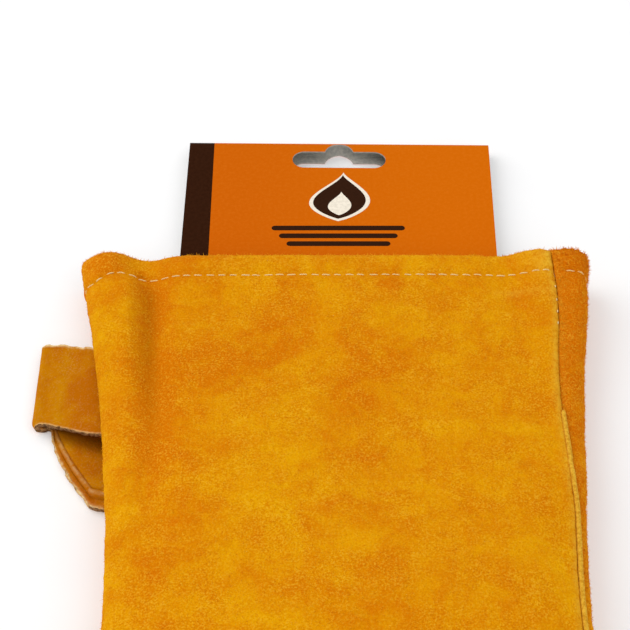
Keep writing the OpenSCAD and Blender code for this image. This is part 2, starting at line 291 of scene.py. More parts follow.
def grid_faces(rows, cols, wrap, flip=False, offset=0):
    """Faces of a grid of points; wrap joins the last row to the first."""
    faces = []
    for i in range(rows if wrap else rows - 1):
        here, there = offset + i * cols, offset + (i + 1) % rows * cols
        for j in range(cols - 1):
            quad = (here + j, there + j, there + j + 1, here + j + 1)
            faces.append(quad[::-1] if flip else quad)
    return faces


def shell_from_grid(name, outer, inner, material, wrap=False):
    """Closed solid between two grids of points; wrap joins the last row to the first."""
    rows, cols = outer.shape[:2]
    half, end = rows * cols, cols - 1
    faces = grid_faces(rows, cols, wrap) + grid_faces(rows, cols, wrap, True, half)
    for i in range(rows if wrap else rows - 1):
        here, there = i * cols, (i + 1) % rows * cols
        faces.append((here, half + here, half + there, there))
        faces.append((here + end, there + end, half + there + end, half + here + end))
    if not wrap:
        last = (rows - 1) * cols
        for j in range(cols - 1):
            faces.append((j, j + 1, half + j + 1, half + j))
            faces.append((last + j, half + last + j, half + last + j + 1, last + j + 1))
    obj = make_object(name, np.concatenate([outer.reshape(-1, 3), inner.reshape(-1, 3)]), faces, material)
    with editing(obj.data) as bm:
        bmesh.ops.recalc_face_normals(bm, faces=bm.faces)
    return obj


def ring_faces(rings, sides, closed=False):
    """Faces of a tube made of rings of points, with a cap at each end unless it closes on itself."""
    faces = []
    for i in range(rings if closed else rings - 1):
        here, there = i * sides, (i + 1) % rings * sides
        for j in range(sides):
            k = (j + 1) % sides
            faces.append((here + j, here + k, there + k, there + j))
    if not closed:
        faces.append(tuple(reversed(range(sides))))
        faces.append(tuple((rings - 1) * sides + j for j in range(sides)))
    return faces


def tube(points, radius, sides=8, closed=False):
    """Verts and faces of a round cord along points in millimetres, narrower at its open ends."""
    points = np.asarray(points, float)
    if closed:
        tangent = unit(np.roll(points, -1, 0) - np.roll(points, 1, 0))
    else:
        tangent = unit(np.gradient(points, axis=0))
    side = unit(np.cross(tangent, [0.02, 0.03, 1.0]))
    up = np.cross(side, tangent)
    turn = np.linspace(0, 2 * np.pi, sides, endpoint=False)[None, :, None]
    r = np.full((len(points), 1, 1), float(radius))
    if not closed:
        r[[0, -1]] *= 0.45
    rings = points[:, None] + r * (np.cos(turn) * side[:, None] + np.sin(turn) * up[:, None])
    return rings.reshape(-1, 3), ring_faces(len(points), sides, closed)


def join_parts(parts):
    verts, faces, base = [], [], 0
    for v, f in parts:
        verts.append(v)
        faces += [tuple(base + i for i in face) for face in f]
        base += len(v)
    return np.concatenate(verts), faces


def stitch_parts(path, normals, pitch=STITCH_PITCH, length=2.7, radius=0.2, lift=0.1, jitter=0.2):
    """A row of short plump threads along a path of points, each dipping into the leather at its ends."""
    path, normals = np.asarray(path, float), np.asarray(normals, float)
    run = travel(path)
    arch = np.sin(np.linspace(0, np.pi, 7)) ** 0.6 * (radius * 0.95 + lift) - radius * 0.75
    parts = []
    at = 0.6
    while at + length < run[-1]:
        begin = at + rng.uniform(-jitter, jitter)
        size = length + rng.uniform(-0.25, 0.25)
        where = np.linspace(begin, begin + size, len(arch))
        line = sample(where, run, path) + sample(where, run, normals) * arch[:, None]
        parts.append(tube(line, radius * rng.uniform(0.88, 1.08), 7))
        at += pitch
    return parts


def stitches_object(name, path, normals, **settings):
    return make_object(name, *join_parts(stitch_parts(path, normals, **settings)), THREAD)


def set_tone(obj, orange, pale, dark):
    """Colour of the suede at each point, from dye and from painted shade and painted light: more orange, pale
    and rubbed, dark. It repeats on the inner face.
    """
    values = np.clip(np.stack(np.broadcast_arrays(orange, pale, dark), -1), 0, 1).reshape(-1, 3)
    rgba = np.ones((len(obj.data.vertices), 4), np.float32)
    rgba[:, :3] = np.tile(values, (len(rgba) // len(values), 1))
    layer = obj.data.color_attributes.new("tone", "FLOAT_COLOR", "POINT")
    layer.data.foreach_set("color", rgba.ravel())


# ---- Materials -----------------------------------------------------------------------------------

def srgb(r, g, b):
    """A display colour from 0 to 255 as linear light."""
    c = np.array([r, g, b]) / 255
    lin = np.where(c <= 0.04045, c / 12.92, ((c + 0.055) / 1.055) ** 2.4)
    return (*[float(v) for v in lin], 1.0)


class Nodes:
    """Short names for building a material's node tree."""

    def __init__(self, name):
        self.material = bpy.data.materials.new(name)
        self.material.use_nodes = True
        self.tree = self.material.node_tree
        self.shader = self.tree.nodes["Principled BSDF"]

    def add(self, kind, inputs=None, **settings):
        """A node with its settings, and numbers or links for its inputs, by name or place."""
        node = self.tree.nodes.new(kind)
        for key, value in settings.items():
            setattr(node, key, value)
        for key, value in (inputs or {}).items():
            self.put(node.inputs[key], value)
        return node

    def put(self, socket, value):
        if isinstance(value, bpy.types.NodeSocket):
            self.tree.links.new(value, socket)
        else:
            socket.default_value = value

    def coords(self, scale=(1, 1, 1)):
        place = self.add("ShaderNodeTexCoord").outputs["Object"]
        return self.add("ShaderNodeMapping", {"Vector": place, "Scale": scale}).outputs["Vector"]

    def noise(self, vector, scale, detail=3, rough=0.55, distortion=0.0):
        inputs = {"Vector": vector, "Scale": scale, "Detail": detail, "Roughness": rough,
                  "Distortion": distortion}
        return self.add("ShaderNodeTexNoise", inputs).outputs["Fac"]

    def wave(self, vector, direction, scale, distortion):
        inputs = {"Vector": vector, "Scale": scale, "Distortion": distortion}
        node = self.add("ShaderNodeTexWave", inputs, wave_type="BANDS", bands_direction=direction)
        return node.outputs["Fac"]

    def ramp(self, value, low, high):
        inputs = {"Value": value, "From Min": low, "From Max": high}
        return self.add("ShaderNodeMapRange", inputs, interpolation_type="SMOOTHSTEP").outputs["Result"]

    def math(self, operation, a, b):
        return self.add("ShaderNodeMath", {0: a, 1: b}, operation=operation).outputs[0]

    def times(self, a, b):
        return self.math("MULTIPLY", a, b)

    def plus(self, a, b):
        return self.math("ADD", a, b)

    def blend(self, factor, a, b):
        return self.add("ShaderNodeMix", {0: factor, 6: a, 7: b}, data_type="RGBA").outputs[2]

    def bump(self, height, distance, strength=1.0, before=None):
        inputs = {"Height": height, "Distance": distance, "Strength": strength}
        if before is not None:
            inputs["Normal"] = before
        return self.add("ShaderNodeBump", inputs).outputs["Normal"]

    def parts(self, kind, link):
        """The outputs of a node that splits a colour or a vector."""
        return self.add(kind, {0: link}).outputs

    def finish(self, colour, normal=None, roughness=0.9, sheen=0.0, sheen_tint=(1, 1, 1, 1), specular=0.15):
        inputs = {"Base Color": colour, "Roughness": roughness, "Specular IOR Level": specular,
                  "Sheen Weight": sheen, "Sheen Roughness": 0.6, "Sheen Tint": sheen_tint}
        if normal is not None:
            inputs["Normal"] = normal
        for key, value in inputs.items():
            self.put(self.shader.inputs[key], value)
        return self.material


def tinted(colour, red, green, blue):
    return (red * colour[0], green * colour[1], blue * colour[2], 1.0)


def suede_material(name, light, deep, pale, nap=1.0, mottle=0.5):
    """Split leather: broad dye mottling, finer blotches, and a short nap that catches the light."""
    n = Nodes(name)
    place = n.coords()
    broad = n.noise(place, 24, 4, 0.6, 0.6)
    blotch = n.noise(place, 110, 5, 0.66, 0.5)
    nap_fine = n.noise(place, 1700, 2, 0.65)
    nap_mid = n.noise(place, 480, 4, 0.7)
    brushed = n.noise(n.coords((1, 0.35, 1)), 300, 3, 0.6, 0.4)
    painted = n.add("ShaderNodeVertexColor", layer_name="tone").outputs["Color"]
    tone = n.parts("ShaderNodeSeparateColor", painted)
    dye = n.plus(n.times(n.ramp(broad, 0.38, 0.62), mottle), n.times(n.ramp(blotch, 0.36, 0.66), 0.42))
    dye = n.plus(dye, n.times(n.ramp(brushed, 0.35, 0.65), 0.14))
    # The tone's orange share adds dye and also painted shade and painted light.
    dye = n.plus(dye, n.math("SUBTRACT", tone["Red"], 0.22))
    colour = n.blend(n.math("MINIMUM", n.math("MAXIMUM", dye, 0.0), 1.0), light, deep)
    cluster = n.plus(n.times(n.ramp(n.noise(place, 75, 3, 0.6, 0.4), 0.38, 0.62), 0.5), 0.5)
    for limit, speck in ((0.66, pale), (0.34, tinted(deep, 0.82, 0.66, 0.5))):
        share = n.times(n.times(n.ramp(nap_fine, 0.50, limit), 0.46 * nap), cluster)
        colour = n.blend(share, colour, speck)
    colour = n.blend(n.times(tone["Green"], n.ramp(nap_mid, 0.3, 0.6)), colour, pale)
    # The tone's dark share: dark seam lines, painted shade and painted shadow, darkened toward dim orange.
    colour = n.blend(n.times(tone["Blue"], 0.8), colour, tinted(deep, 0.42, 0.42, 0.42))
    bumped = n.bump(nap_mid, 0.0007, 0.55 * nap)
    bumped = n.bump(nap_fine, 0.0004, 0.7 * nap, bumped)
    bumped = n.bump(blotch, 0.0016, 0.35, bumped)
    return n.finish(colour, bumped, 0.95, 0.10, (1.0, 0.55, 0.02, 1.0), 0.02)


def fibre_material(name, light, pale):
    n = Nodes(name)
    colour = n.blend(n.ramp(n.noise(n.coords(), 900, 2), 0.4, 0.6), light, pale)
    return n.finish(colour, None, 0.9, 0.1, (1.0, 0.7, 0.2, 1.0), 0.02)


def cut_edge_material(name, pale, dark):
    """The raw edge of split leather: pale compressed fibres with darker flecks."""
    n = Nodes(name)
    grain = n.noise(n.coords(), 1100, 4, 0.7)
    return n.finish(n.blend(n.ramp(grain, 0.4, 0.65), pale, dark), n.bump(grain, 0.0004, 0.8), 0.95)


def thread_material():
    n = Nodes("straw_thread")
    ply = n.wave(n.coords(), "DIAGONAL", 900, 2.0)
    colour = n.blend(ply, srgb(240, 196, 104), srgb(253, 234, 176))
    return n.finish(colour, n.bump(ply, 0.0002, 0.6), 0.6, 0.1, specular=0.05)


def lining_material():
    """Undyed brushed cotton with a fine weave."""
    n = Nodes("lining_cotton")
    place = n.coords()
    weave = n.times(*[n.wave(place, direction, 420, 1.5) for direction in "XY"])
    pile = n.noise(place, 700, 4, 0.7)
    colour = n.blend(n.ramp(pile, 0.35, 0.7), srgb(196, 182, 156), srgb(232, 222, 200))
    colour = n.blend(n.times(weave, 0.3), colour, srgb(160, 146, 122))
    return n.finish(colour, n.bump(n.plus(weave, pile), 0.0005, 0.7), 0.95, 0.4)


def card_material():
    """Folded board: orange print with a brown band outside, bare grey board inside and on cut edges."""
    n = Nodes("printed_board")
    place = n.coords()
    at = n.parts("ShaderNodeSeparateXYZ", place)
    facing = n.parts("ShaderNodeSeparateXYZ", n.add("ShaderNodeNewGeometry").outputs["Normal"])
    mid_z = float(CARD_LOW[2] + CARD_HIGH[2]) / 2 * MM
    fold_y = float(CARD_HIGH[1] - (CARD_HIGH[2] - CARD_LOW[2]) / 2) * MM
    outward = n.times(n.math("SUBTRACT", at["Z"], mid_z), facing["Z"])
    radial = n.times(n.math("SUBTRACT", at["Y"], fold_y), facing["Y"])
    radial = n.times(radial, n.math("GREATER_THAN", at["Y"], fold_y + 0.0002))
    facing_out = n.math("GREATER_THAN", n.plus(outward, radial), 0.0011)
    upright = n.math("LESS_THAN", n.math("ABSOLUTE", facing["X"], 0), 0.5)
    fibre = n.noise(place, 900, 4, 0.65)
    orange = n.blend(n.ramp(at["X"], -0.04, 0.04), srgb(204, 95, 0), srgb(211, 103, 0))
    orange = n.blend(n.times(n.ramp(fibre, 0.4, 0.7), 0.12), orange, srgb(240, 140, 40))
    brown = n.blend(n.ramp(fibre, 0.3, 0.7), srgb(46, 20, 5), srgb(54, 26, 10))
    ink = n.blend(n.math("LESS_THAN", at["X"], float(CARD_LOW[0] + 9.6) * MM), orange, brown)
    board = n.blend(n.ramp(fibre, 0.35, 0.65), srgb(168, 166, 160), srgb(190, 186, 176))
    colour = n.blend(n.times(facing_out, upright), board, ink)
    return n.finish(colour, n.bump(fibre, 0.00015, 0.3), 0.6, specular=0.02)


def print_material(name, rgb):
    n = Nodes(name)
    fibre = n.noise(n.coords(), 900, 3, 0.6)
    colour = n.blend(n.ramp(fibre, 0.35, 0.7), rgb, tinted(rgb, 0.86, 0.86, 0.86))
    return n.finish(colour, n.bump(fibre, 0.0001, 0.2), 0.6, specular=0.02)


def floor_material():
    n = Nodes("pale_floor")
    n.put(n.shader.inputs["Emission Color"], (1, 1, 1, 1))
    n.put(n.shader.inputs["Emission Strength"], 0.24)
    grain = n.ramp(n.noise(n.coords(), 30, 3, 0.5), 0.3, 0.7)
    return n.finish(n.blend(grain, (0.76, 0.76, 0.76, 1), (0.745, 0.745, 0.75, 1)), None, 0.8)


SUEDE = suede_material("suede_palm", srgb(228, 160, 2), srgb(212, 116, 0), srgb(241, 186, 52))
SUEDE_BACK = suede_material("suede_back", srgb(239, 164, 2), srgb(213, 111, 0), srgb(242, 184, 54), 1.1, 0.6)
STRAP = suede_material("strap_leather", srgb(198, 130, 2), srgb(180, 98, 0), srgb(232, 206, 150), 0.2, 0.7)
WELT = cut_edge_material("pale_welt", srgb(228, 176, 52), srgb(200, 138, 20))
# Raw cut edge of the strap, with its colours darkened by painted shade for the side that faces down and away
# from the light.
SHADED_CUT_EDGE = cut_edge_material("shaded_cut_leather_edge", srgb(158, 120, 78), srgb(96, 60, 30))
FIBRE = fibre_material("suede_fibre", srgb(218, 138, 3), srgb(236, 174, 36))
TUFT = fibre_material("orange_fibre", srgb(206, 104, 0), srgb(232, 150, 20))
THREAD = thread_material()
COTTON = lining_material()
CARD = card_material()


# ---- Cuff ----------------------------------------------------------------------------------------

def hem_profile(step=1.25):
    """The panel's outer face as [s, d] from the wrist to the mouth, over the fold and back inside."""
    path = [(s, 0.0) for s in np.arange(CUFF_LEN - 0.9, FOLD_R, -step)]
    path += [(FOLD_R - FOLD_R * math.sin(t), FOLD_R - FOLD_R * math.cos(t))
             for t in np.linspace(0, math.pi, 8)]
    path += [(s, 2 * FOLD_R) for s in np.arange(FOLD_R + 1.2, HEM_DEPTH + 1, 2.0)]
    return np.array(path)


PROFILE = hem_profile()
OUTSIDE = PROFILE[:, 1] == 0
OUTSIDE_S = PROFILE[OUTSIDE, 0][::-1]


def cuff_relief(grid, ss, edge, other, rough, back):
    """How far the suede stands off the plain body: nap, hem, puckers, and the edges drawn into the seams."""
    relief = 0.40 * fbm(grid, 34, 3, 1.3) + 0.14 * fbm(grid, 9, 3, 2.1)
    nap = rough * (0.10 * fbm(grid, 3.2, 2, 5.2) + rng.normal(0, 0.055, ss.shape))
    relief = relief * smooth(0, 8, ss) + nap
    seam = hem_line(grid[..., 0])
    hem = 0.40 * smooth(0, 4, ss) * fade(seam - 2.5, seam, ss) - 0.45 * bump(ss, seam, 0.9)
    pucker = 0.10 * np.sin(grid[..., 0] * 2 * np.pi / STITCH_PITCH) * bump(ss, seam, 3.5)
    if back:
        tuck = -mix(0.2, 0.85, smooth(40, 66, ss)) * fade(0, 2.6, edge)
    else:
        tuck = 0.22 * bump(edge, 2.2, 1.6) - 0.45 * fade(0, 1.2, edge)
    return relief + hem + pucker + tuck - 0.8 * fade(0, 1.6, other)


ORANGE_SPOTS = ((0.55, -72, 4.5, 2, 6), (0.30, 57, 6, 24, 6), (0.30, 55, 9, 88, 7),
                (0.20, -12, 22, 42, 24), (0.16, 20, 20, 14, 10))


def cuff_tone(x, ss, edge, seam, back):
    """Shares of orange, pale and dark in the cuff's colour, placed as in the photograph: dye, with painted
    shade down the valley and painted light and shade on the roll at the thumb's side.
    """
    valley = valley_x(ss)
    pale = 0.8 * fade(0.3, 3.0, edge) * (0.12 if back else 1) + 0.12 * bump(ss, 0, 2.5)
    orange = 0.26 + 0.16 * smooth(-30, -75, x) * smooth(30, 0, ss) - 0.36 * smooth(5, 50, x)
    orange = orange + 0.26 * bump(x, -46, 15) - 0.15 * smooth(60, 100, ss)
    # Painted shade: deeper orange down the valley beside the roll at the thumb's side.
    orange = orange + 0.55 * bump(x, valley + 1.5, 5) * smooth(2, 14, ss) * fade(60, 150, ss)
    # Painted light: less orange, so paler and yellower, on the roll at the thumb's side where it catches the
    # light.
    orange = orange - 0.25 * bump(x, -75, 8) * smooth(14, 40, ss)
    for amount, x_at, x_spread, s_at, s_spread in ORANGE_SPOTS:
        orange = orange + amount * bump(x, x_at, x_spread) * bump(ss, s_at, s_spread)
    # A dark line along the hem's stitches, and painted shade toning down the lit flank of the roll at the
    # thumb's side.
    dark = 0.40 * bump(ss, seam, 0.4) + 0.07 * bump(x, -73, 7) * smooth(12, 30, ss)
    # Painted shade: a dark band along the valley beside the roll at the thumb's side.
    dark = dark + 0.38 * bump(x, valley - 0.4, 2.2) * smooth(6, 20, ss) * fade(40, 100, ss)
    if back:
        orange = orange + 0.30 + 0.24 * smooth(5, 50, x) + 0.35 * bump(ss, 5, 9) * bump(edge, 3, 9)
        dark = dark + 0.35 * smooth(40, 66, ss) * fade(0, 1.4, edge)
    else:
        pale = pale + 0.75 * bump(edge, 0, 6) * bump(ss, 6, 6)
        pale = pale + 0.30 * bump(ss, 18.2, 1.0) * smooth(46, 52, x)
    return orange, pale, dark


def cuff_panel(name, start, end, row_step, material, rough, back=False):
    """Suede panel with its edge turned in at the mouth. start and end are its seams' angles, by s."""
    s, d = PROFILE.T
    rows = len(even_angles(float(start(30.0)), float(end(30.0)), row_step, 30.0))
    angle = even_rows(start, end, rows, s)
    ss, dd = np.broadcast_to(s, angle.shape), np.broadcast_to(d, angle.shape)
    grid = body_pt(angle, ss, dd)
    across = np.linalg.norm(np.diff(grid, axis=0, prepend=grid[:1]), axis=-1).cumsum(0)
    edge, other = across, across[-1:] - across
    if back:
        edge, other = other, edge
    normal = grid_normals(grid)
    middle = grid[rows // 2, 4]
    if normal[rows // 2, 4] @ (middle - [0, middle[1], 8]) < 0:
        normal = -normal
    relief = cuff_relief(grid, ss, edge, other, rough, back)
    outer = grid + normal * ((dd < FOLD_R) * relief)[..., None]
    inner = outer - normal * (LEATHER - 0.15)
    outer[..., 2] = np.maximum(outer[..., 2], FLOOR_GAP)
    inner[..., 2] = np.maximum(inner[..., 2], FLOOR_GAP + 0.4)
    obj = shell_from_grid(name, outer, inner, material)
    set_tone(obj, *cuff_tone(grid[..., 0] - lean(ss), ss, edge, hem_line(grid[..., 0]), back))
    return obj, outer, normal


SEAM_GAP = 0.004
palm_cuff, palm_grid, palm_normal = cuff_panel(
    "cuff_palm_suede", lambda s: seam_angle(s) + SEAM_GAP, lambda s: math.pi - SEAM_GAP, 1.25, SUEDE, 1.0)
back_cuff, back_grid, back_normal = cuff_panel(
    "cuff_back_suede", lambda s: math.pi + SEAM_GAP, lambda s: 2 * math.pi + seam_angle(s) - SEAM_GAP, 1.4,
    SUEDE_BACK, 2.2, back=True)
declare(palm_cuff, "cuff", "suede_palm", "cuff_palm_panel")
declare(back_cuff, "cuff", "suede_back", "cuff_back_panel")


def cuff_lining():
    """Quilted tube inside the cuff, with lengthwise channels that show in the mouth."""
    rows = even_angles(0, 2 * math.pi, 2.2, 40.0)[:-1]
    s = np.arange(HEM_DEPTH + 1.4, CUFF_LEN - 1, 3.0)
    angle, ss = np.meshgrid(rows, s, indexing="ij")
    depth = LEATHER + 0.35
    channel = 0.35 * np.abs(np.sin(body_pt(angle, ss, depth + LINING)[..., 0] * np.pi / 18))
    outer = body_pt(angle, ss, depth + 0.2)
    inner = body_pt(angle, ss, depth + LINING + channel)
    sunk = 2.2 * bump(outer[..., 0], valley_x(ss) - 4, 9) * (np.sin(angle) > 0)
    for face in (outer, inner):
        face[..., 2] -= sunk
    return shell_from_grid("cuff_lining_cotton", outer, inner, COTTON, wrap=True)


declare(cuff_lining(), "cuff", "lining_cotton", "cuff_lining")


def hem_row(grid, normal):
    """The hem's stitch line across a panel, with its normals."""
    line, out = [], []
    for row, row_out in zip(grid[:, OUTSIDE][:, ::-1], normal[:, OUTSIDE][:, ::-1]):
        s = hem_line(np.interp(HEM_DEPTH, OUTSIDE_S, row[:, 0]))
        line.append(sample(s, OUTSIDE_S, row))
        out.append(sample(s, OUTSIDE_S, row_out))
    return np.array(line), np.array(out)


def hem_stitches():
    palm, palm_out = hem_row(palm_grid, palm_normal)
    back, back_out = hem_row(back_grid, back_normal)
    back[:, 2] = np.maximum(back[:, 2], 0.5)
    parts = stitch_parts(palm[::-1], palm_out[::-1]) + stitch_parts(back, back_out)
    return make_object("hem_stitches", *join_parts(parts), THREAD)


declare(hem_stitches(), "cuff", "straw_thread", "hem_stitching")


def seam_line(start, end, shift):
    """Points and normals along the side seam, shifted from the palm panel's edge."""
    s = np.arange(start, end, 1.0)
    line, out = (sample(s, OUTSIDE_S, values[1, OUTSIDE][::-1]) for values in (palm_grid, palm_normal))
    return line + shift, out


def side_seam_welt():
    line, _ = seam_line(66, CUFF_LEN - 2, (1.3, 0, -0.6))
    return make_object("side_seam_welt_cord", *tube(line, 0.75, 10), WELT)


def side_seam_stitches():
    line, out = seam_line(SEAM_DOTS_FROM, SEAM_DOTS_TO, (0.9, 0, -0.35))
    return stitches_object("side_seam_stitches", line, out, pitch=4.9, length=0.9, radius=0.22,
                           lift=0.02, jitter=0.3)


declare(side_seam_welt(), "cuff", "pale_welt", "side_seam_welt")
declare(side_seam_stitches(), "cuff", "straw_thread", "side_seam_stitching")


# ---- Header card ---------------------------------------------------------------------------------

card = frame["nodes"]["header_card"]
card.data.materials.clear()
card.data.materials.append(CARD)


PRINT_THICK = 0.04


def flame(height, width, sway, steps=26):
    """Outline of a plain flame: a drop, fuller on one side, whose tip sways to the right."""
    t = np.linspace(0, 1, steps)
    right = sway * t ** 2 + 1.25 * width * np.sin(np.pi * t) ** 0.8 * (1 - t) ** 0.45
    left = sway * t ** 2 - 1.35 * width * np.sin(np.pi * t) ** 0.9 * (1 - t) ** 0.7
    x, y = np.concatenate([right, left[-2:0:-1]]), np.concatenate([t, t[-2:0:-1]])
    return np.stack([x, height * y], 1)


def printed_patch(name, outline, z, material):
    """A flat printed area on the card, as a thin solid on its outline."""
    count = len(outline)
    verts = [(x, y, height) for height in (z, z + PRINT_THICK) for x, y in outline]
    faces = [tuple(reversed(range(count))), tuple(range(count, 2 * count))]
    faces += [(i, (i + 1) % count, count + (i + 1) % count, count + i) for i in range(count)]
    obj = make_object(name, verts, faces, material, smooth_shade=False)
    with editing(obj.data) as bm:
        bmesh.ops.recalc_face_normals(bm, faces=bm.faces)
        bmesh.ops.triangulate(bm, faces=bm.faces)
    declare(obj, "header_card", "printed_board")


def card_emblem():
    """A generic flame over three grill bars."""
    brown = print_material("print_brown", srgb(52, 27, 13))
    cream = print_material("print_cream", srgb(246, 236, 218))
    z = float(CARD_HIGH[2]) + 0.005
    middle = np.array([-1.0, 26.5])
    printed_patch("emblem_flame_edge", flame(24.0, 11.0, 2.0) + middle - [0, 1.1], z, cream)
    printed_patch("emblem_flame", flame(21.6, 9.5, 1.8) + middle, z + 0.03, brown)
    printed_patch("emblem_flame_heart", flame(11.5, 4.2, 0.9) + middle + [0.3, 1.7], z + 0.06, cream)
    turn = np.linspace(-np.pi / 2, np.pi / 2, 7)
    for row in range(3):
        cap = np.stack([21 - 2.5 * row + 1.1 * np.cos(turn), 1.1 * np.sin(turn)], 1)
        bar = np.concatenate([cap, -cap]) + middle - [0, 4.4 + 3.7 * row]
        printed_patch(f"emblem_bar_{row + 1}", bar, z, brown)


card_emblem()


# ---- Hang loop -----------------------------------------------------------------------------------

def hang_loop():
    """A strap creased flat at its outer edge: the upper leg rises to the seam, the lower one slants away."""
    low_z, root_z = LOOP_LOW[2] + LEATHER / 2, LOOP_HIGH[2] - LEATHER / 2 + 0.4
    fold_r = 1.3
    fold_x = LOOP_LOW[0] + LEATHER / 2 + fold_r - 1.2
    top_s = -LOOP_HIGH[1] - 3.2
    upper_x = np.arange(-67.0, fold_x, -0.7)
    lower_x = np.arange(fold_x + 0.7, -66.0, 0.7)
    turns = np.linspace(0, math.pi, 12)
    path_x = np.concatenate([upper_x, fold_x - fold_r * np.sin(turns), lower_x])
    path_z = np.concatenate([mix(low_z + 2 * fold_r, root_z, smooth(fold_x, -72, upper_x)),
                             low_z + fold_r * (1 + np.cos(turns)), np.full(len(lower_x), low_z)])[:, None]
    run = np.concatenate([np.zeros(len(upper_x) + len(turns)), lower_x - fold_x])[:, None]
    on_lower = run > 0.1
    spread = smooth(fold_x, -72, path_x)[:, None] * ~on_lower
    v = np.concatenate([[0, 0.008, 0.017, 0.03], np.linspace(0.045, 0.955, 44), [0.97, 0.983, 0.992, 1]])
    slant = (np.interp(run, (4.0, 4.5, 5.4, 7.3, 10.2, 11.5, 17.8), (0, 3.2, 7.6, 12.2, 17.8, 20.2, 29.8))
             - 0.6 * smooth(0, 2.5, run) + 0.25 * np.maximum(run - 17.8, 0))
    length = mix(32.2, 33.9, spread)
    s = mix(top_s - 0.8, top_s + 4.7, spread) + v * length + slant
    x = path_x[:, None] + 0.9 * smooth(0.93, 1, v) ** 2 * (path_x[:, None] < fold_x + 1.5)
    grid = np.stack(np.broadcast_arrays(x, -s, path_z), -1)
    upper = ~on_lower & (path_z > low_z + fold_r)
    lip, lean_x = (1 - v) * length, x + 1.0 * v
    ridge = (0.3 * bump(lip, 5.6, 0.6) - 0.4 * bump(lip, 3.6, 1.0) - 0.4 * bump(lip, 7.0, 0.6)) * on_lower
    crease = 0.16 * bump(lean_x, -87.4, 1.2) - 0.20 * bump(lean_x, -85.2, 1.6) + 0.45 * fade(0, 0.05, v)
    relief = 0.20 * fbm(grid, 11, 3, 8.0) + 0.07 * fbm(grid, 3, 2, 9.0) + rng.normal(0, 0.03, s.shape)
    edge_on = grid * [1, 0.05, 0.2]
    ragged = 0.55 * fbm(edge_on, 2.6, 3, 12.0) + 0.3 * fbm(edge_on, 0.9, 2, 14.0)
    grid[..., 1] += ragged * fade(0, 0.04, v) + 0.35 * ragged * smooth(0.96, 1, v)
    grid[..., 2] += relief + crease * upper + ridge
    normal = grid_normals(grid)
    normal = -normal if normal[4, 4, 2] < 0 else normal
    outer, inner = grid + normal * LEATHER / 2, grid - normal * LEATHER / 2
    for layer in (outer, inner):
        layer[..., 2] = np.maximum(layer[..., 2], FLOOR_GAP)
    obj = shell_from_grid("hang_loop_strap", outer, inner, STRAP)

    pale = fade(0.2, 0.65, np.minimum(v, 1 - v) * length) * np.where(v < 0.5, 0.9, 0.45)
    pale = pale + on_lower * (0.34 * bump(lip, 5.6, 0.35) + 0.5 * bump(lip, 0.3, 0.7))
    orange = 0.40 + 0.25 * bump(x, -78, 5) - 0.3 * bump(lip, 9, 2) * on_lower
    orange = orange - (0.45 * bump(lean_x, -85.6, 1.8) + 0.35 * bump(x, fold_x - 1.5, 3)) * upper
    # Painted shadow on the lower leg where the upper leg overhangs it.
    shade = fade(0, 5.0, s - (top_s + 31.9 + 0.3 * np.maximum(0, x - fold_x)))
    # Dark on the lower leg: a dark line along the groove 3.6 mm in from its edge, painted shade in the groove
    # 7 mm in, and the painted shadow.
    dark = on_lower * (0.6 * bump(lip, 3.6, 1.0) + 0.6 * bump(lip, 7.0, 0.5) + 0.9 * shade)
    set_tone(obj, orange, pale, dark + 0.12 * bump(lean_x, -84.6, 0.8) * upper)
    # Second slot: the cut edge material, raw edge colour with painted shade, for the rim faces that face
    # down.
    obj.data.materials.append(SHADED_CUT_EDGE)
    for face in obj.data.polygons:
        if face.normal.y < -0.6 and min(face.vertices) < s.size <= max(face.vertices):
            face.material_index = 1
    return obj


strap = hang_loop()
declare(strap, "hang_loop", "strap_leather", "hang_loop", "hang_loop_stitching")


# ---- Hand ----------------------------------------------------------------------------------------

CUT_MID_Z = 10.6
THUMB_CUT = np.array([-65.0, -196.0])
THUMB_OUT = np.array([-1.0, -0.12]) / np.linalg.norm([-1.0, -0.12])
THUMB_ROOT, THUMB_BEND = np.array([-46.0, -188.0]), np.array([-78.0, -206.0])
THUMB_FROM_S = CUFF_LEN + 22
CROTCH_X, CROTCH_S = -61.0, 216.0
FINGER_HALF_WIDE, FINGER_HALF_HIGH = 14.3, 9.6
FINGER_ROOT = 16
DIGIT_OVAL, DIGIT_TAPER, TIP_FROM = 2.2, 0.08, 0.8
HAND_TOP_S = CUFF_LEN - 0.4
HAND_MID_Z = 11


def digit_tube(base, direction, across, length, half_wide, half_high, mid_z, sides=28, rings=22):
    """Closed oval tube from a base point along a direction in plan, tapering a little to a rounded tip."""
    tip = 0.2 * np.sin(np.linspace(0.16, np.pi / 2, 8))
    u = np.concatenate([np.linspace(0, TIP_FROM, rings - 8), TIP_FROM + tip])
    u = u[u < 0.9995]
    shrink = np.where(u < TIP_FROM, 1.0, np.sqrt(np.clip(1 - ((u - TIP_FROM) / 0.2) ** 2, 0.02, 1)))
    turn = np.linspace(0, 2 * np.pi, sides, endpoint=False)
    ring = []
    for k, w in zip(u, shrink):
        centre = np.array([*(base + direction * length * k), mid_z])
        size = w * (1 - DIGIT_TAPER * k)
        ring.append(centre + np.outer(spow(np.cos(turn), DIGIT_OVAL) * half_wide * size, [*across, 0])
                    + np.outer(spow(np.sin(turn), DIGIT_OVAL) * half_high * size, [0, 0, 1]))
    return np.concatenate(ring), ring_faces(len(u), sides)


def finger_frame(name):
    """Base point in plan, direction and sideways direction of a finger, from its hinge."""
    joint = JOINTS[f"{name}_bend"]
    across = -np.array(joint["axis"])[:2]
    return np.array(joint["pos_m"])[:2] / MM, np.array([across[1], -across[0]]), across


def finger_place(points, name):
    """How far points lie beyond a finger's base seam, and how far off its middle line."""
    base, direction, across = finger_frame(name)
    rel = points[:, :2] - base
    return rel @ direction, rel @ across


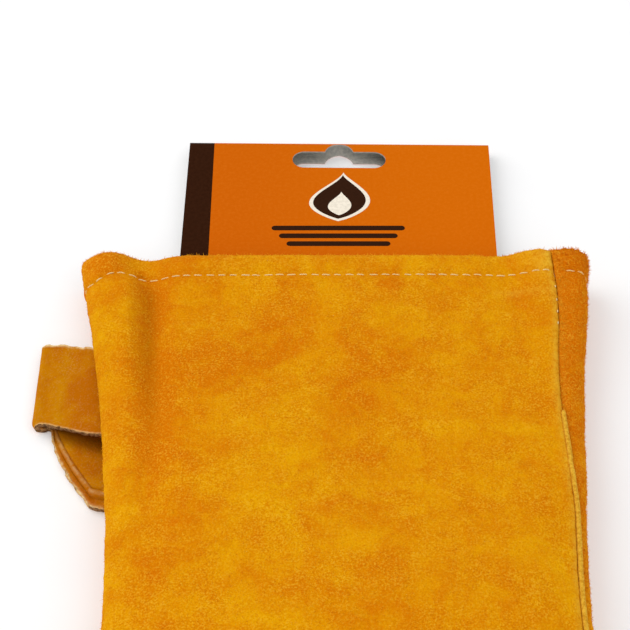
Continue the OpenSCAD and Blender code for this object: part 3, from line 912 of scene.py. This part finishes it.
def hand_blank():
    """Palm and digits as overlapping closed solids, before they are merged into one skin."""
    s = np.arange(CUFF_LEN - 8, KNUCKLE_AT + 4, 3.0)
    turn = np.linspace(0, 2 * np.pi, 72, endpoint=False)
    close = np.sqrt(np.clip(1 - (np.maximum(0, s - (KNUCKLE_AT - 2)) / 8) ** 2, 0.2, 1))
    rings = []
    for k, w in zip(s, close):
        ring = body_pt(turn, np.full_like(turn, k), 0.8)
        ring[:, 2] = mix(HAND_MID_Z, ring[:, 2], w)
        rings.append(ring)
    parts = [(np.concatenate(rings), ring_faces(len(s), len(turn)))]
    for name in FINGERS:
        base, direction, across = finger_frame(name)
        length = -mm_box(f"{name}_finger_front")[0][1] - KNUCKLE_AT + FINGER_ROOT
        parts.append(digit_tube(base - direction * FINGER_ROOT, direction, across, length,
                                FINGER_HALF_WIDE, FINGER_HALF_HIGH, CUT_MID_Z))
    tip = mm_box("thumb_front")[0][:2] + [12.0, 11.0]
    reach = tip - THUMB_BEND
    for start, end, half_wide, half_high in ((THUMB_ROOT, THUMB_BEND, 20.0, 11.0),
                                             (THUMB_BEND - reach * 0.15, tip + reach * 0.24, 16.4, 10.2)):
        length = np.linalg.norm(end - start)
        along = (end - start) / length
        across = np.array([-along[1], along[0]])
        parts.append(digit_tube(start, along, across, length, half_wide, half_high, 11.2))
    return join_parts(parts)


def apply_modifiers(obj):
    """Replace the mesh with what its modifiers make of it at the current frame."""
    graph = bpy.context.evaluated_depsgraph_get()
    mesh = bpy.data.meshes.new_from_object(obj.evaluated_get(graph))
    obj.modifiers.clear()
    old = obj.data
    obj.data = mesh
    bpy.data.meshes.remove(old)


def vertex_values(obj, what="co"):
    """Places or normals of a mesh's vertices as an array with three columns, in metres."""
    values = np.zeros(len(obj.data.vertices) * 3)
    obj.data.vertices.foreach_get(what, values)
    return values.reshape(-1, 3)


def set_points(obj, points, lowest):
    """Move a mesh's vertices to points in metres, none of them lower than lowest."""
    points[:, 2] = np.maximum(points[:, 2], lowest)
    obj.data.vertices.foreach_set("co", points.ravel())
    obj.data.update()


def inflate(obj, frames=22, cap=0.006):
    """Cloth simulation: the skin swells against its own seams and wrinkles where they hold it."""
    start = vertex_values(obj)
    pin = obj.vertex_groups.new(name="pin")
    pin.add([i for i, p in enumerate(start) if p[1] > -(CUFF_LEN + 6) * MM], 1.0, "REPLACE")
    cloth = obj.modifiers.new("cloth", "CLOTH")
    settings = cloth.settings
    settings.quality = 7
    settings.mass = 0.35
    settings.tension_stiffness = 22
    settings.compression_stiffness = 16
    settings.shear_stiffness = 8
    settings.bending_stiffness = 0.9
    settings.use_pressure = True
    settings.uniform_pressure_force = 2.2
    settings.shrink_min = -0.035
    settings.effector_weights.gravity = 0
    settings.vertex_group_mass = "pin"
    cloth.collision_settings.use_self_collision = False
    cloth.point_cache.frame_start, cloth.point_cache.frame_end = 1, frames
    for f in range(1, frames + 1):
        bpy.context.scene.frame_set(f)
    apply_modifiers(obj)
    bpy.context.scene.frame_set(1)
    moved = vertex_values(obj) - start
    size = np.linalg.norm(moved, axis=1, keepdims=True)
    set_points(obj, start + moved * np.minimum(1, cap / np.maximum(size, 1e-9)), 0.0006)


def inset_copy(obj, name, depth, material):
    """The same skin pulled in along its normals, for the lining under the leather."""
    mesh = obj.data.copy()
    mesh.materials.clear()
    out = add_object(name, mesh, material)
    set_points(out, vertex_values(out) - vertex_values(out, "normal") * depth * MM, 0.0028)
    return out


def hand_skin():
    obj = make_object("hand_skin", *hand_blank(), SUEDE)
    merge = obj.modifiers.new("merge", "REMESH")
    merge.mode, merge.voxel_size = "VOXEL", 0.0026
    relax = obj.modifiers.new("relax", "SMOOTH")
    relax.factor, relax.iterations = 0.5, 6
    apply_modifiers(obj)
    inflate(obj)
    lining_skin = inset_copy(obj, "lining_skin", 3.0, COTTON)
    obj.modifiers.new("fine", "SUBSURF").levels = 1
    apply_modifiers(obj)
    return obj, lining_skin


def wrinkle(obj):
    """Leather slack: creases at the knuckles, between the fingers, at the thumb's root and in the palm."""
    points = vertex_values(obj) / MM
    x, y, z = points.T
    s = -y
    front = z > CUT_MID_Z
    slack = (0.55 * fbm(points, 30, 3, 3.0) + 0.22 * fbm(points * [1, 1.7, 1], 9, 3, 4.0)
             + 0.08 * fbm(points, 3, 2, 6.0))
    amount = smooth(CUFF_LEN - 2, CUFF_LEN + 14, s) * slack
    amount -= 1.0 * bump(s, KNUCKLE_AT + 3 + 2 * np.sin(x * 0.2), 2.2) * front
    for name in FINGERS:
        run, off = finger_place(points, name)
        inside = (np.abs(off) < 16) & (run > 0)
        joints = 0.8 * bump(run, 36, 2.2) + 0.6 * bump(run, 31, 1.4) + 0.6 * bump(run, 59, 1.8)
        amount -= inside * front * joints
        amount += inside * (z < CUT_MID_Z) * 0.5 * np.sin(run * 0.9) * bump(run, 36, 9)
    amount += bump(x, -60, 12) * bump(s, 200, 24) * 0.8 * np.sin(x * 0.55 - s * 0.35)
    palm_line = bump(x * 0.35 + s, 212 + 3 * np.sin(x * 0.09), 2.6)
    amount -= 1.0 * palm_line * front * smooth(-60, -40, x) * fade(20, 50, x)
    amount -= 0.7 * bump(s - 0.25 * x, 176, 2.4) * front * smooth(-50, -25, x) * fade(25, 50, x)
    set_points(obj, (points + vertex_values(obj, "normal") * amount[:, None]) * MM, 0.35 * MM)


def score(obj, point, normal):
    """Cut new edges into the mesh along a plane, in millimetres, without dividing it."""
    with editing(obj.data) as bm:
        bmesh.ops.bisect_plane(bm, geom=bm.verts[:] + bm.edges[:] + bm.faces[:], dist=1e-7,
                               plane_co=Vector(point) * MM, plane_no=Vector(normal))


def piece_of(obj, name, chosen, material):
    """A new object of the faces whose centres chosen() accepts, in millimetres."""
    mesh = bpy.data.meshes.new(name)
    with editing(obj.data, mesh) as bm:
        mask = chosen(np.array([f.calc_center_median() for f in bm.faces]) / MM)
        bmesh.ops.delete(bm, geom=[f for f, keep in zip(bm.faces, mask) if not keep], context="FACES")
    mesh.shade_smooth()
    return add_object(name, mesh, material)


def boundary_loop(obj):
    """The longest loop of open edges of a mesh, as points in order, in millimetres."""
    bm = bmesh.new()
    bm.from_mesh(obj.data)
    edges = {e.index: e for e in bm.edges if e.is_boundary}
    loops = []
    while edges:
        edge = edges.pop(min(edges))
        first, at = edge.verts
        chain = [first, at]
        while True:
            step = next((e for e in sorted(at.link_edges, key=lambda e: e.index) if e.index in edges), None)
            if step is None:
                break
            edges.pop(step.index)
            at = step.other_vert(at)
            if at == first:
                break
            chain.append(at)
        loops.append(np.array([v.co for v in chain]) / MM)
    bm.free()
    return max(loops, key=len)


def seam_runs(loop, on_seam, shortest=8.0):
    """The stretches of a closed loop of points that lie on a seam, each evenly spaced and smoothed."""
    mask = on_seam(loop)
    if mask.all():
        runs = [np.arange(len(loop) + 1) % len(loop)]
    else:
        order = (np.arange(len(loop)) + int(np.argmin(mask))) % len(loop)
        runs, current = [], []
        for i in [*order, order[0]]:
            if mask[i]:
                current.append(i)
            elif current:
                runs.append(current)
                current = []
    lines = []
    for run in runs:
        length = travel(loop[run])
        if length[-1] < shortest:
            continue
        line = sample(np.linspace(0, length[-1], int(length[-1] / 1.3) + 2), length, loop[run])
        for _ in range(4):
            line[1:-1] = (line[:-2] + 2 * line[1:-1] + line[2:]) / 4
        lines.append(line)
    return lines


def in_thumb(points):
    x, s = points[:, 0], -points[:, 1]
    beyond_seam = (points[:, :2] - THUMB_CUT) @ THUMB_OUT > 0
    clear_of_index = x < CROTCH_X - 0.32 * np.maximum(0, s - CROTCH_S)
    return beyond_seam & clear_of_index & (s > THUMB_FROM_S) & (s < 280)


def in_finger(points, name):
    """Points beyond a finger's base seam that are nearer to this finger's middle line than to the others'."""
    off = {other: np.abs(finger_place(points, other)[1]) for other in FINGERS}
    nearest = np.all([off[name] <= off[other] for other in FINGERS], axis=0)
    return nearest & (finger_place(points, name)[0] > 0) & (off[name] < 22) & ~in_thumb(points)


def in_palm(points):
    elsewhere = [in_thumb(points)] + [in_finger(points, name) for name in FINGERS]
    return (points[:, 1] < -HAND_TOP_S) & ~np.any(elsewhere, axis=0)


def on_side_seam(points):
    return np.abs(points[:, 2] - CUT_MID_Z) < 0.3


def off_side_seam(points):
    return ~on_side_seam(points)


def suede_tone(obj, back=False, pale=0.03):
    """Dye of the hand's suede, more orange and darker along the seams at its sides."""
    points = vertex_values(obj) / MM
    orange = np.clip(0.25 + 0.12 * fbm(points, 22, 2, 11.0) + (0.16 if back else 0.0), 0, 1)
    near_seam = bump(points[:, 2], CUT_MID_Z, 1.6)
    set_tone(obj, orange + 0.3 * near_seam, pale, 0.35 * near_seam * (pale < 0.1))


def thicken(obj, thickness):
    solid = obj.modifiers.new("leather", "SOLIDIFY")
    solid.thickness, solid.offset, solid.use_rim = thickness * MM, -1, True
    apply_modifiers(obj)


def bend(obj, place):
    """Bake a piece's world transform into its mesh."""
    if place == "palm":
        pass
    elif place == "thumb":
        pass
    else:
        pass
    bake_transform(obj)


def seam_welt(name, lines, radius=1.0):
    """A leather cord sewn into a seam, along one or more lines of points."""
    verts, faces = join_parts([tube(line, radius) for line in lines])
    verts[:, 2] = np.maximum(verts[:, 2], FLOOR_GAP)
    obj = make_object(name, verts, faces, SUEDE)
    suede_tone(obj, pale=0.3)
    return obj


def build_place(place, inside, skin, lining_skin):
    """Front, back, lining and seam welt of the palm, the thumb or a finger. Returns the front."""
    palm = place == "palm"
    stem = f"{place}_finger" if place in FINGERS else place
    front = piece_of(skin, "palm_suede" if palm else f"{place}_front_suede",
                     lambda p: inside(p) & (p[:, 2] > CUT_MID_Z), SUEDE)
    back = piece_of(skin, "hand_back_suede" if palm else f"{place}_back_suede",
                    lambda p: inside(p) & (p[:, 2] < CUT_MID_Z), SUEDE_BACK)
    bend(seam_welt(f"{place}_seam_welt", seam_runs(boundary_loop(front), on_side_seam)), place)
    if place == "thumb":
        root = [run for part in (front, back) for run in seam_runs(boundary_loop(part), off_side_seam)]
        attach(seam_welt("thumb_root_welt", root, 0.9), "hand")
    for obj, is_back in ((front, False), (back, True)):
        thicken(obj, LEATHER - 0.3)
        suede_tone(obj, is_back)
    lining = piece_of(lining_skin, "hand_lining_cotton" if palm else f"{place}_lining_cotton", inside, COTTON)
    thicken(lining, LINING - 0.5)
    fourchettes = [f"{stem}_fourchettes"] if place in FINGERS else []
    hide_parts("palm_panel" if palm else f"{stem}_front", *fourchettes)
    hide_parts("hand_back_panel" if palm else f"{stem}_back")
    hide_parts("hand_lining" if palm else f"{stem}_lining")
    for obj in (front, back, lining):
        bend(obj, place)
    return front


def build_hand():
    """Score the skins along the seams and divide them into pieces. Returns the palm's front."""
    skin, lining_skin = hand_skin()
    wrinkle(skin)
    for layer in (skin, lining_skin):
        score(layer, (0, -HAND_TOP_S, 0), (0, 1, 0))
        score(layer, (0, -THUMB_FROM_S, 0), (0, 1, 0))
        score(layer, (*THUMB_CUT, 0), (*THUMB_OUT, 0))
        for name in FINGERS:
            base, direction, _ = finger_frame(name)
            score(layer, (*base, 0), (*direction, 0))
    score(skin, (0, 0, CUT_MID_Z), (0, 0, 1))
    palm = build_place("palm", in_palm, skin, lining_skin)
    build_place("thumb", in_thumb, skin, lining_skin)
    for name in FINGERS:
        build_place(name, lambda points: in_finger(points, name), skin, lining_skin)
    bpy.data.objects.remove(skin)
    bpy.data.objects.remove(lining_skin)
    return palm


palm_front = build_hand()


def wrist_cord():
    turn = even_angles(0, 2 * math.pi, 2.0, CUFF_LEN)[:-1]
    line = body_pt(turn, np.full_like(turn, CUFF_LEN - 0.2), -0.35)
    line[:, 2] = np.maximum(line[:, 2], 0.9)
    obj = make_object("wrist_welt_cord", *tube(line, 1.0, 10, closed=True), SUEDE_BACK)
    suede_tone(obj, back=True)
    return obj


declare(wrist_cord(), "cuff", "suede_back", "wrist_welt")

PALM_TREE = BVHTree.FromObject(palm_front, bpy.context.evaluated_depsgraph_get())


def laid_line(points):
    """Points and normals where vertical lines through points in plan first meet the palm's skin."""
    line, out = [], []
    for x, y in points:
        hit, normal, _, _ = PALM_TREE.ray_cast(Vector((x, y, 60)) * MM, Vector((0, 0, -1)))
        if hit is not None:
            line.append(np.array(hit) / MM)
            out.append(np.array(normal))
    return line, out


def wrist_stitches():
    """Stitches across the palm side just below the wrist seam, laid on the finished skin."""
    row = [(x, -(CUFF_LEN + 5)) for x in np.arange(-60, 60, 1.0)]
    return stitches_object("wrist_stitches", *laid_line(row))


def root_stitches():
    """Stitches on the palm beside the seams at the roots of the thumb and fingers."""
    along = np.array([-THUMB_OUT[1], THUMB_OUT[0]])
    lines = [laid_line([THUMB_CUT - THUMB_OUT * 2.4 + along * k for k in np.arange(-14.0, 17.0, 1.0)])]
    for name in FINGERS:
        base, direction, across = finger_frame(name)
        lines.append(laid_line([base - direction * 2.2 + across * k for k in np.arange(-12.0, 12.5, 1.0)]))
    parts = [part for line, out in lines for part in stitch_parts(line, out)]
    return make_object("root_stitches", *join_parts(parts), THREAD)


wrist_row = wrist_stitches()
bend(wrist_row, "palm")
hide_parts("wrist_seam_stitching")
declare(root_stitches(), "hand", "straw_thread")


# ---- Sheets: (width, length) in mm that each panel was cut to, and its flat area in mm2 ----------

CUTS = {"cuff_palm_suede": (145, 163, 22900), "cuff_back_suede": (164, 163, 25800),
        "cuff_lining_cotton": (285, 140, 38600), "hang_loop_strap": (33, 66, 2100),
        "palm_suede": (132, 118, 14500), "hand_back_suede": (132, 118, 14000),
        "hand_lining_cotton": (250, 115, 26500), "thumb_front_suede": (42, 92, 3450),
        "thumb_back_suede": (42, 92, 3300), "thumb_lining_cotton": (68, 84, 4900)}
FINGER_CUTS = {"index": (90, 3060, 85, 4500), "middle": (100, 3450, 95, 5200),
               "ring": (95, 3270, 90, 4800), "little": (84, 2560, 80, 3800)}
for finger, (long, area, lining_long, lining_area) in FINGER_CUTS.items():
    CUTS[f"{finger}_front_suede"] = CUTS[f"{finger}_back_suede"] = (38, long, area)
    CUTS[f"{finger}_lining_cotton"] = (62, lining_long, lining_area)


# ---- Loose fibres --------------------------------------------------------------------------------

def fuzz(name, grid, normal, count, lengths, width, weight, material, flat=0.35):
    """Loose suede fibres on a cuff panel: three-sided spikes, most of them lying down along the surface."""
    rows, cols = grid.shape[:2]
    chance = (weight(grid) * (grid[..., 2] > 2.5)).ravel()
    pick = rng.choice(rows * cols, count, p=chance / chance.sum())
    i, j = np.minimum(pick // cols, rows - 2), np.minimum(pick % cols, cols - 2)
    a, b = rng.random((2, count, 1))
    points = ((grid[i, j] * (1 - a) + grid[i + 1, j] * a) * (1 - b)
              + (grid[i, j + 1] * (1 - a) + grid[i + 1, j + 1] * a) * b)
    normals = normal[i, j]
    long = rng.uniform(*lengths, count)[:, None]
    away = rng.normal(size=(count, 3))
    away = unit(away - (away * normals).sum(1, keepdims=True) * normals)
    direction = unit(away + np.abs(rng.normal(flat, 0.25, count))[:, None] * normals)
    side = unit(np.cross(direction, normals))
    up = np.cross(side, direction)
    wide = width * rng.uniform(0.6, 1.3, count)[:, None]
    root = points - normals * 0.12
    tip = root + direction * long + rng.normal(0, 0.08, (count, 3))
    verts = np.stack([root + side * wide, root - side * wide, root + up * wide * 1.2, tip], 1).reshape(-1, 3)
    sides = np.array([(0, 1, 2), (0, 3, 1), (1, 3, 2), (2, 3, 0)])
    faces = (np.arange(count)[:, None, None] * 4 + sides).reshape(-1, 3).tolist()
    declare(make_object(name, verts, faces, material, smooth_shade=False), "cuff", "suede_palm")


def anywhere(grid):
    return np.ones(grid.shape[:2])


def near_side_seam(grid):
    return 0.25 + 2.5 * (grid[..., 0] > 60) * (grid[..., 2] > 1.5)


def mouth_edge(grid):
    """Most at the folded edge of the mouth, where the fibres show against what is behind."""
    return 0.02 + bump(grid[..., 1], 0.0, 1.6)


def corner(grid):
    """The shaggy corner of the back panel, at the little finger's side of the mouth."""
    return bump(grid[..., 0], 76, 6) * bump(grid[..., 1], -3, 5) + 0.16 * bump(grid[..., 0], 79, 3)


fuzz("cuff_palm_nap", palm_grid, palm_normal, 24000, (0.5, 1.2), 0.07, anywhere, FIBRE)
fuzz("cuff_back_nap", back_grid, back_normal, 14000, (0.6, 1.5), 0.08, near_side_seam, FIBRE)
fuzz("mouth_edge_fuzz", palm_grid, palm_normal, 2600, (0.6, 1.4), 0.10, mouth_edge, FIBRE, 0.9)
fuzz("corner_tufts", back_grid, back_normal, 1500, (0.8, 1.9), 0.13, corner, TUFT, 0.8)


# ---- Floor, light and camera ---------------------------------------------------------------------

LOOK_AT = (0, -0.05, 0)


def stage():
    mesh = bpy.data.meshes.new("floor")
    with editing(mesh) as bm:
        bmesh.ops.create_grid(bm, x_segments=8, y_segments=8, size=6.0)
    floor = add_object("floor", mesh, floor_material())
    floor.location.z = -0.0003


def area_light(name, place, size, power):
    data = bpy.data.lights.new(name, "AREA")
    data.shape, data.size, data.energy = "DISK", size, power
    light = add_object(name, data)
    light.location = place
    light.rotation_euler = (Vector(LOOK_AT) - Vector(place)).to_track_quat("-Z", "Y").to_euler()


def lights():
    area_light("key", (-1.0, 0.35, 1.0), 1.7, 11.7)
    area_light("fill", (0.6, -0.9, 1.1), 1.4, 5)
    world = bpy.data.worlds.new("studio")
    world.use_nodes = True
    background = world.node_tree.nodes["Background"].inputs
    background["Color"].default_value = (1, 1, 1, 1)
    background["Strength"].default_value = 0.65
    bpy.context.scene.world = world
    bpy.context.scene.view_settings.view_transform = "Standard"


def camera(elevation=46.5, distance=0.5933, lens=105.7):
    """Level view from in front of the fingers, looking down on the mouth of the cuff."""
    tilt = math.radians(elevation)
    back = Vector((0, -math.cos(tilt), math.sin(tilt)))
    data = bpy.data.cameras.new("camera")
    data.sensor_width, data.lens = 36, lens
    data.clip_start, data.clip_end = 0.01, 50
    cam = add_object("camera", data)
    cam.location = Vector((-8.7, -12.3, 0)) * MM + back * distance
    cam.rotation_mode = "QUATERNION"
    cam.rotation_quaternion = (-back).to_track_quat("-Z", "Y")
    bpy.context.scene.camera = cam


stage()
lights()
camera()
